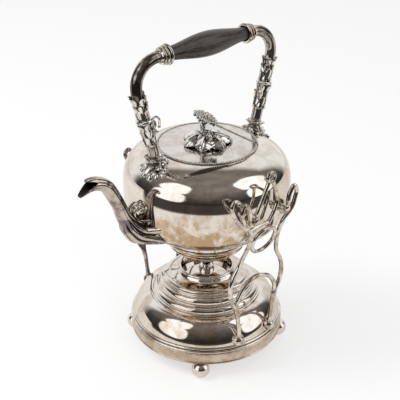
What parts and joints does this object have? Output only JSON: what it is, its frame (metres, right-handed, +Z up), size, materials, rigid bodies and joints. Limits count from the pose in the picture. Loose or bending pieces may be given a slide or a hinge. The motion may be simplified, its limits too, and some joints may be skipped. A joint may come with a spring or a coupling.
{
  "type": "spirit kettle on stand",
  "caption": "Squat silver-plated spirit kettle with ebony grip, hung on a domed wire-bracket stand with a spirit burner; tilts to pour.",
  "frame": {"origin": "on the stand's axis at the level of the flats that the four ball feet rest on", "axes": "+Z up, the spout points along -X, the bracket with the extra curl is on the -Y side"},
  "size_m": [0.2525, 0.201, 0.36],
  "materials": {
    "silver_plate": "polished silver plate with light warm tarnish and fine wear",
    "cast_silver": "cast silver foliage with dark oxide in the recesses",
    "worn_band": "dull warm plate with worn beading",
    "ebony": "dark satin ebony",
    "steel": "plain drawn steel",
    "cotton": "cotton wick, singed at its end"
  },
  "bodies": {
    "stand": {"base_dome": "silver_plate", "base_band": "worn_band", "step_wires": "silver_plate", "ball_feet": "silver_plate", "burner_well": "silver_plate", "bracket_pads": "silver_plate", "left_bracket": "silver_plate", "right_bracket": "silver_plate", "waist_rings": "silver_plate", "front_cradles": "silver_plate", "rear_cradles": "silver_plate"},
    "burner": {"burner_font": "silver_plate", "burner_screw_socket": "silver_plate"},
    "wick_holder": {"wick_collar": "silver_plate", "wick_tube": "silver_plate", "wick": "cotton"},
    "kettle": {"kettle_body": "silver_plate", "kettle_foot_ring": "silver_plate", "neck_flange": "silver_plate", "pin_bosses": "silver_plate", "pivot_pins": "silver_plate", "cradle_pins": "silver_plate", "spout": "silver_plate", "fixed_lid_segment": "silver_plate", "fixed_rope_border": "cast_silver", "body_hinge_knuckles": "silver_plate", "hinge_pin": "steel", "front_handle_mount": "cast_silver", "rear_handle_mount": "cast_silver", "front_handle_collar": "silver_plate", "rear_handle_collar": "silver_plate", "front_handle_arm": "silver_plate", "rear_handle_arm": "silver_plate", "front_foliage_sleeves": "cast_silver", "rear_foliage_sleeves": "cast_silver", "front_ferrule": "silver_plate", "rear_ferrule": "silver_plate", "handle_grip": "ebony", "grip_rod": "steel"},
    "lid": {"lid_plate": "silver_plate", "lid_rope_border": "cast_silver", "lid_rim_flange": "silver_plate", "lid_hinge_knuckles": "silver_plate", "finial_leaves": "cast_silver", "finial_flower": "cast_silver", "finial_nut": "silver_plate"}
  },
  "joints": [
    {"name": "kettle_tilt", "type": "hinge", "parent": "stand", "child": "kettle", "pos_m": [-0.0213, 0, 0.196], "axis": [0, -1, 0], "range_deg": [0, 35]},
    {"name": "lid_hinge", "type": "hinge", "parent": "kettle", "child": "lid", "pos_m": [0.0375, 0, 0.2411], "axis": [0, 1, 0], "range_deg": [0, 65]},
    {"name": "burner_lift", "type": "slide", "parent": "stand", "child": "burner", "axis": [0, 0, 1], "range_m": [0, 0.02]},
    {"name": "wick_turn", "type": "hinge", "parent": "burner", "child": "wick_holder", "pos_m": [0, 0, 0.088], "axis": [0, 0, 1], "range_deg": [0, 180]}
  ]
}
